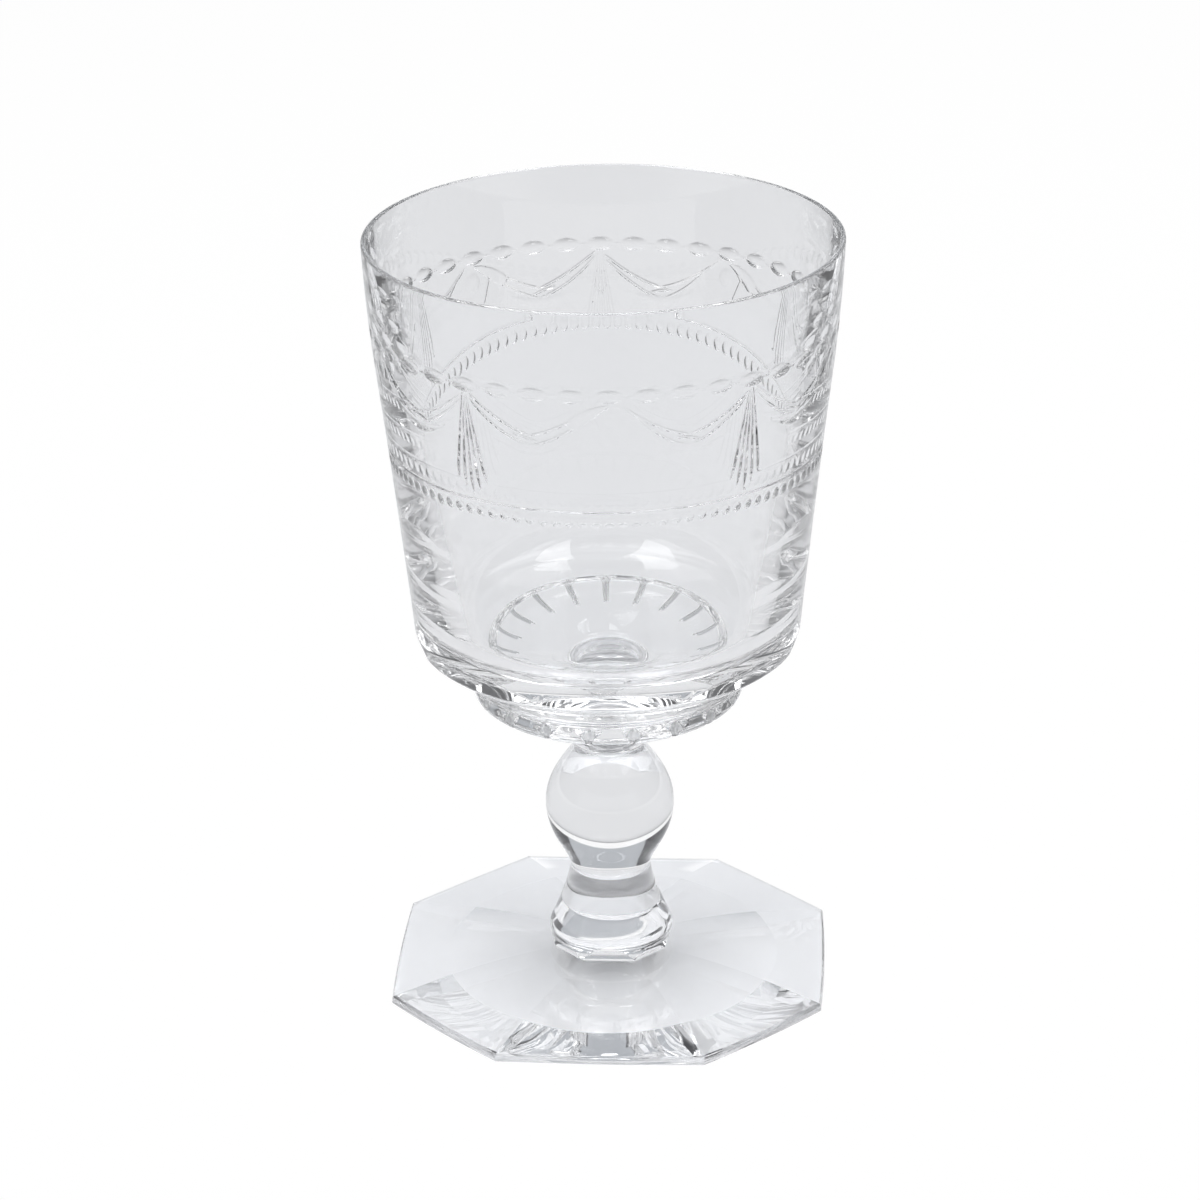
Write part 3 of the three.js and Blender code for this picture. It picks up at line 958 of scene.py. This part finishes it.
def heel_cut(angles):
    """How deep the heel is cut at each angle, measured along the cuts' tilt."""
    turns = (angles - FRONT) * HEEL_CUTS / (2 * math.pi)
    along = 2 * (turns - np.round(turns)) / HEEL_CUT_SHARE
    return HEEL_CUT_DEPTH * np.clip(1 - along ** 2, 0, 1)


def heel_column(walked, reach, depth):
    """Stations along the outline for one column: plain below, the cut with its edges, plain above."""
    highest = int(np.argmax(reach))
    level = reach[highest] - depth
    low = np.interp(level, reach[:highest + 1], walked[:highest + 1])
    high = np.interp(-level, -reach[highest:], walked[highest:])
    edge = min(HEEL_CUT_EDGE, HEEL_CUT_EDGE_SHARE * (high - low))
    below = np.linspace(0, low - edge, HEEL_ROWS[0])
    cut = np.linspace(low + edge, high - edge, HEEL_ROWS[1])
    above = np.linspace(high + edge, walked[-1], HEEL_ROWS[2])
    return np.concatenate([below, [low], cut, [high], above])


def heel_patch(shell, angles):
    """The heel, with rows of points that follow the edges of its cuts."""
    outline = heel_outline()
    facing = outline_normals(outline)
    walked = np.append(0, np.cumsum(np.linalg.norm(np.diff(outline, axis=0), axis=1)))
    tilt = np.array((math.cos(HEEL_CUT_TILT), -math.sin(HEEL_CUT_TILT)))
    reach = outline @ tilt
    depths = heel_cut(angles)
    stations = np.stack([heel_column(walked, reach, depth) for depth in depths], axis=1)
    radius = np.interp(stations, walked, outline[:, 0])
    height = np.interp(stations, walked, outline[:, 1])
    over = np.clip(radius * tilt[0] + height * tilt[1] - (reach.max() - depths), 0, None)
    radius = radius - over * tilt[0]
    height = height - over * tilt[1]
    plain = np.stack([np.interp(stations, walked, facing[:, axis]) for axis in (0, 1)], axis=-1)
    # The cut faces turn a little less round the axis than the heel does.
    slant = np.gradient(depths, angles) / radius
    flat = unit(np.stack(np.broadcast_arrays(tilt[0], slant, tilt[1]), axis=-1))
    body = np.stack([plain[..., 0], np.zeros_like(radius), plain[..., 1]], axis=-1)
    below, cut, above = HEEL_ROWS
    edge = [HEEL_EDGE_BLEND]
    share = np.concatenate([np.zeros(below), edge, np.ones(cut), edge, np.zeros(above)])
    share = share[:, None, None] * (depths > 0)[None, :, None]
    local = unit(share * flat + (1 - share) * body)
    out = polar(1.0, angles, 0)
    side = polar(1.0, angles + math.pi / 2, 0)
    normals = local[..., 0:1] * out + local[..., 1:2] * side + local[..., 2:3] * np.array((0, 0, 1))
    points = polar(radius, np.broadcast_to(angles, radius.shape), height)
    grid = np.arange(radius.size).reshape(radius.shape)
    shell.patch(points.reshape(-1, 3), normals.reshape(-1, 3), grid_faces(grid))


def lip_outline():
    """The wall above the cut pattern, the rounded lip and the inside of the cup."""
    half = LIP_WALL / 2
    heights = np.linspace(PATTERN_TOP, RIM_TOP - half, LIP_WALL_ROWS)
    wall = np.stack([wall_radius(heights), heights], axis=1)
    turns = np.linspace(0, math.pi, LIP_STEPS + 1)[1:]
    circle = half * np.stack([np.cos(turns), np.sin(turns)], axis=1)
    lip = np.array((RIM_RADIUS - half, RIM_TOP - half)) + circle
    inner = np.array((RIM_RADIUS - LIP_WALL, RIM_TOP - half))
    corner = np.array(CUP_CORNER)
    side = straight(inner, corner, CUP_SIDE_STEPS)
    along = corner + unit(corner - inner) * CUP_CORNER_EASE
    edge = (CUP_FLOOR_RADIUS, CUP_FLOOR)
    before_edge = (CUP_FLOOR_RADIUS + CUP_FLOOR_EASE, CUP_FLOOR)
    turn = bezier((corner, along, before_edge, edge), 2 * ROWS_PER_CURVE)
    middle = (0.0, CUP_FLOOR - CUP_FLOOR_DIP)
    bottom = bezier((edge, (CUP_FLOOR_RADIUS / 2, middle[1]), middle), ROWS_PER_CURVE)
    return np.concatenate([wall, lip, side[1:], turn[1:], bottom[1:]])


def bowl(materials):
    shell = Shell()
    angles = full_turn(BOWL_COLUMNS, FRONT + math.radians(SECTOR_START))
    heel_patch(shell, angles)
    pattern_band(shell)
    shell.turned(lip_outline(), angles)
    disc(shell, BASE_RADIUS, BASE_TOP, angles, False)
    return shell.build("crystal_bowl", "bowl", materials)


# Materials
CRYSTAL_IOR = 1.55
CRYSTAL_COLOUR = (0.985, 0.988, 0.992, 1)
BUMP_DISTANCE = 0.002
WAVE_DETAIL = 1.0
WAVE_SCALE = 22.0
WAVE_STRENGTH = 0.012
GRAIN_SCALE = 1800.0
GRAIN_STRENGTH = 0.12
FROST_ROUGHNESS = 0.36
# Grey tint of the matt leaves: painted shade, since frosted crystal darkens only by scattering light.
FROST_PAINTED_SHADE = (0.74, 0.745, 0.755, 1)
# Dark grey tint of the matt valleys: painted shade, so that they show as dark strokes, which frosted
# crystal gets only from scattering light.
VALLEY_PAINTED_SHADE = (0.3, 0.305, 0.315, 1)


def nodes_of(material):
    material.use_nodes = True
    tree = material.node_tree
    tree.nodes.clear()
    return tree.nodes, tree.links


def crystal(name, wave_strength, wave_scale):
    """Clear crystal, faintly wavy as fire-polished glass is."""
    material = bpy.data.materials.new(name)
    nodes, links = nodes_of(material)
    output = nodes.new("ShaderNodeOutputMaterial")
    shader = nodes.new("ShaderNodeBsdfPrincipled")
    shader.inputs["Base Color"].default_value = CRYSTAL_COLOUR
    shader.inputs["Roughness"].default_value = 0.0
    shader.inputs["IOR"].default_value = CRYSTAL_IOR
    shader.inputs["Transmission Weight"].default_value = 1.0
    place = nodes.new("ShaderNodeTexCoord")
    noise = nodes.new("ShaderNodeTexNoise")
    noise.inputs["Scale"].default_value = wave_scale
    noise.inputs["Detail"].default_value = WAVE_DETAIL
    bump = nodes.new("ShaderNodeBump")
    bump.inputs["Strength"].default_value = wave_strength
    bump.inputs["Distance"].default_value = BUMP_DISTANCE
    links.new(place.outputs["Object"], noise.inputs["Vector"])
    links.new(noise.outputs["Fac"], bump.inputs["Height"])
    links.new(bump.outputs["Normal"], shader.inputs["Normal"])
    links.new(shader.outputs["BSDF"], output.inputs["Surface"])
    return material


def frosted_crystal(name, colour):
    """Crystal left matt by the mould, finely grained. Its colour is a grey tint that paints shade into
    the matt glass.
    """
    material = crystal(name, GRAIN_STRENGTH, GRAIN_SCALE)
    shader = next(node for node in material.node_tree.nodes if node.type == "BSDF_PRINCIPLED")
    shader.inputs["Base Color"].default_value = colour
    shader.inputs["Roughness"].default_value = FROST_ROUGHNESS
    return material


def fused_joint():
    """Face between two fused pieces, where light goes straight on through the glass."""
    material = bpy.data.materials.new("fused_joint")
    nodes, links = nodes_of(material)
    output = nodes.new("ShaderNodeOutputMaterial")
    clear = nodes.new("ShaderNodeBsdfTransparent")
    links.new(clear.outputs["BSDF"], output.inputs["Surface"])
    return material


# Stage
FLOOR_SIZE = 6.0
FLOOR_GAP = 0.05
FLOOR_SEEN = (0.94, 0.94, 0.94)
FLOOR_WHITENESS = 0.92
FLOOR_IN_GLASS = (0.735, 0.74, 0.755)
WORLD_FILL = 0.5
WHITE = (1.0, 1.0, 1.0)
SWEEP_COLOUR = WHITE
SWEEP_TOP = (0.06, 0.085)
WALL_COLOUR = (0.45, 0.47, 0.5)
WALL_HALF_ANGLE = 32.0
FLAG_COLOUR = (0.05, 0.05, 0.055)
FLAG_HALF_ANGLE = 62.0
FLAG_EDGE = (-0.02, 0.04)
ROOM_COLOUR = (0.1, 0.102, 0.107)
FRONT_COLOUR = (0.55, 0.555, 0.57)
FRONT_DEPTH = (-0.6, -0.4)
FRONT_TOP = (0.4, 0.5)
CEILING_COLOUR = (0.68, 0.69, 0.72)
CEILING_BOTTOM = (0.88, 0.97)
SOFTBOX_SIZE = (0.33, 1.5)
SOFTBOX_PLACES = ((-0.38, -0.05, 0.98), (0.45, -0.05, 0.98))
SOFTBOX_TURN = 23.0
SOFTBOX_POWER = 4.8
GLASS_BOUNCES = 32


def floor():
    """Pale floor, all but white to the camera and pale grey in the glass."""
    bpy.ops.mesh.primitive_plane_add(size=FLOOR_SIZE, location=(0, 0, -FLOOR_GAP * MM))
    plane = bpy.context.object
    plane.name = "floor"
    material = bpy.data.materials.new("pale_floor")
    nodes, links = nodes_of(material)
    output = nodes.new("ShaderNodeOutputMaterial")
    path = nodes.new("ShaderNodeLightPath")
    colour = blend(nodes, links, path.outputs["Is Camera Ray"], FLOOR_IN_GLASS, FLOOR_SEEN)
    lit = nodes.new("ShaderNodeBsdfDiffuse")
    links.new(colour, lit.inputs["Color"])
    white = nodes.new("ShaderNodeEmission")
    share = nodes.new("ShaderNodeMapRange")
    share.inputs["To Max"].default_value = FLOOR_WHITENESS
    links.new(path.outputs["Is Camera Ray"], share.inputs["Value"])
    mix = nodes.new("ShaderNodeMixShader")
    links.new(share.outputs["Result"], mix.inputs["Fac"])
    links.new(lit.outputs["BSDF"], mix.inputs[1])
    links.new(white.outputs["Emission"], mix.inputs[2])
    links.new(mix.outputs["Shader"], output.inputs["Surface"])
    plane.data.materials.append(material)


def world():
    """White to the camera. Glass sees a white sweep, a grey wall behind it and a dim studio."""
    made = bpy.data.worlds.new("studio")
    bpy.context.scene.world = made
    nodes, links = nodes_of(made)
    output = nodes.new("ShaderNodeOutputWorld")
    background = nodes.new("ShaderNodeBackground")
    path = nodes.new("ShaderNodeLightPath")
    in_glass = maximum(nodes, links, path.outputs["Is Glossy Ray"], path.outputs["Is Transmission Ray"])
    fill = (WORLD_FILL, WORLD_FILL, WORLD_FILL)
    lit = blend(nodes, links, in_glass, fill, studio(nodes, links))
    seen = blend(nodes, links, path.outputs["Is Camera Ray"], lit, WHITE)
    links.new(seen, background.inputs["Color"])
    links.new(background.outputs["Background"], output.inputs["Surface"])


def studio(nodes, links):
    """What glass sees by direction: the sweep, then wall, dark flags, room, front and ceiling."""
    place = nodes.new("ShaderNodeTexCoord")
    split = nodes.new("ShaderNodeSeparateXYZ")
    links.new(place.outputs["Generated"], split.inputs["Vector"])
    aside = nodes.new("ShaderNodeMath")
    aside.operation = "ABSOLUTE"
    links.new(split.outputs["X"], aside.inputs[0])
    beside = outside(nodes, links, split.outputs["Y"], aside.outputs["Value"], WALL_HALF_ANGLE)
    in_front = outside(nodes, links, split.outputs["Y"], aside.outputs["Value"], FLAG_HALF_ANGLE)
    above = step(nodes, links, split.outputs["Z"], *SWEEP_TOP)
    overhead = step(nodes, links, split.outputs["Z"], *CEILING_BOTTOM)
    wall = blend(nodes, links, beside, WALL_COLOUR, FLAG_COLOUR)
    around = blend(nodes, links, in_front, wall, ROOM_COLOUR)
    deeper = step(nodes, links, split.outputs["Y"], *FRONT_DEPTH)
    higher = step(nodes, links, split.outputs["Z"], *FRONT_TOP)
    elsewhere = maximum(nodes, links, deeper, higher)
    all_round = blend(nodes, links, elsewhere, FRONT_COLOUR, around)
    upper = blend(nodes, links, overhead, all_round, CEILING_COLOUR)
    return blend(nodes, links, above, SWEEP_COLOUR, upper)


def outside(nodes, links, deep, aside, half_angle):
    """1 where a direction lies further than an angle from straight behind the glass."""
    beyond = nodes.new("ShaderNodeMath")
    beyond.operation = "MULTIPLY_ADD"
    links.new(deep, beyond.inputs[0])
    beyond.inputs[1].default_value = -math.tan(math.radians(half_angle))
    links.new(aside, beyond.inputs[2])
    return step(nodes, links, beyond.outputs["Value"], *FLAG_EDGE)


def step(nodes, links, value, low, high):
    """0 below low and 1 above high."""
    made = nodes.new("ShaderNodeMapRange")
    made.interpolation_type = "SMOOTHSTEP"
    made.inputs["From Min"].default_value = low
    made.inputs["From Max"].default_value = high
    links.new(value, made.inputs["Value"])
    return made.outputs["Result"]


def maximum(nodes, links, first, second):
    made = nodes.new("ShaderNodeMath")
    made.operation = "MAXIMUM"
    links.new(first, made.inputs[0])
    links.new(second, made.inputs[1])
    return made.outputs["Value"]


def blend(nodes, links, share, first, second):
    """Mix of two colours, each a socket or three numbers."""
    made = nodes.new("ShaderNodeMix")
    made.data_type = "RGBA"
    links.new(share, made.inputs["Factor"])
    for name, colour in (("A", first), ("B", second)):
        if isinstance(colour, tuple):
            made.inputs[name].default_value = (*colour, 1)
        else:
            links.new(colour, made.inputs[name])
    return made.outputs["Result"]


def softbox(name, place, turn):
    """Long soft lamp overhead, beside the glass, that draws nearer to the middle behind it."""
    lamp = bpy.data.lights.new(name, "AREA")
    lamp.shape = "RECTANGLE"
    lamp.size, lamp.size_y = SOFTBOX_SIZE
    lamp.energy = SOFTBOX_POWER
    thing = bpy.data.objects.new(name, lamp)
    bpy.context.scene.collection.objects.link(thing)
    thing.location = place
    thing.rotation_euler = (0, 0, math.radians(turn))
    thing.visible_camera = False


def camera():
    """Camera where the photograph was taken from."""
    lens = bpy.data.cameras.new("camera")
    lens.lens = CAMERA_LENS
    lens.sensor_width = CAMERA_SENSOR
    thing = bpy.data.objects.new("camera", lens)
    bpy.context.scene.collection.objects.link(thing)
    turn = Matrix.Rotation(math.radians(CAMERA_TURN), 4, "Z")
    pitch = Matrix.Rotation(math.radians(90 - CAMERA_PITCH), 4, "X")
    roll = Matrix.Rotation(math.radians(CAMERA_ROLL), 4, "Z")
    thing.matrix_world = Matrix.Translation(Vector(CAMERA_PLACE) * MM) @ turn @ pitch @ roll
    bpy.context.scene.camera = thing


def light_paths():
    """Lets light pass all the faces of thick cut glass before it is given up."""
    cycles = bpy.context.scene.cycles
    cycles.max_bounces = GLASS_BOUNCES
    cycles.transmission_bounces = GLASS_BOUNCES
    cycles.glossy_bounces = GLASS_BOUNCES
    cycles.transparent_max_bounces = GLASS_BOUNCES


joint = fused_joint()
bowl_glass = crystal("bowl_crystal", WAVE_STRENGTH, WAVE_SCALE)
base_glass = crystal("bowl_base_crystal", WAVE_STRENGTH, WAVE_SCALE)
stem_glass = crystal("stem_crystal", WAVE_STRENGTH, WAVE_SCALE)
foot_glass = crystal("foot_crystal", WAVE_STRENGTH, WAVE_SCALE)
foot([foot_glass, joint])
stem_base([stem_glass, joint])
ball_knop([stem_glass, joint])
merese([stem_glass, joint])
# Matt leaves tinted light grey as painted shade.
leaf_painted_shade_glass = frosted_crystal("leaf_crystal_painted_shade", FROST_PAINTED_SHADE)
# Matt valleys tinted dark grey as painted shade.
valley_painted_shade_glass = frosted_crystal("valley_crystal_painted_shade", VALLEY_PAINTED_SHADE)
bowl_base([base_glass, joint, leaf_painted_shade_glass, valley_painted_shade_glass])
bowl([bowl_glass, joint])
floor()
world()
softbox("left_softbox", SOFTBOX_PLACES[0], -SOFTBOX_TURN)
softbox("right_softbox", SOFTBOX_PLACES[1], SOFTBOX_TURN)
camera()
light_paths()
bpy.context.scene.view_settings.view_transform = "Standard"
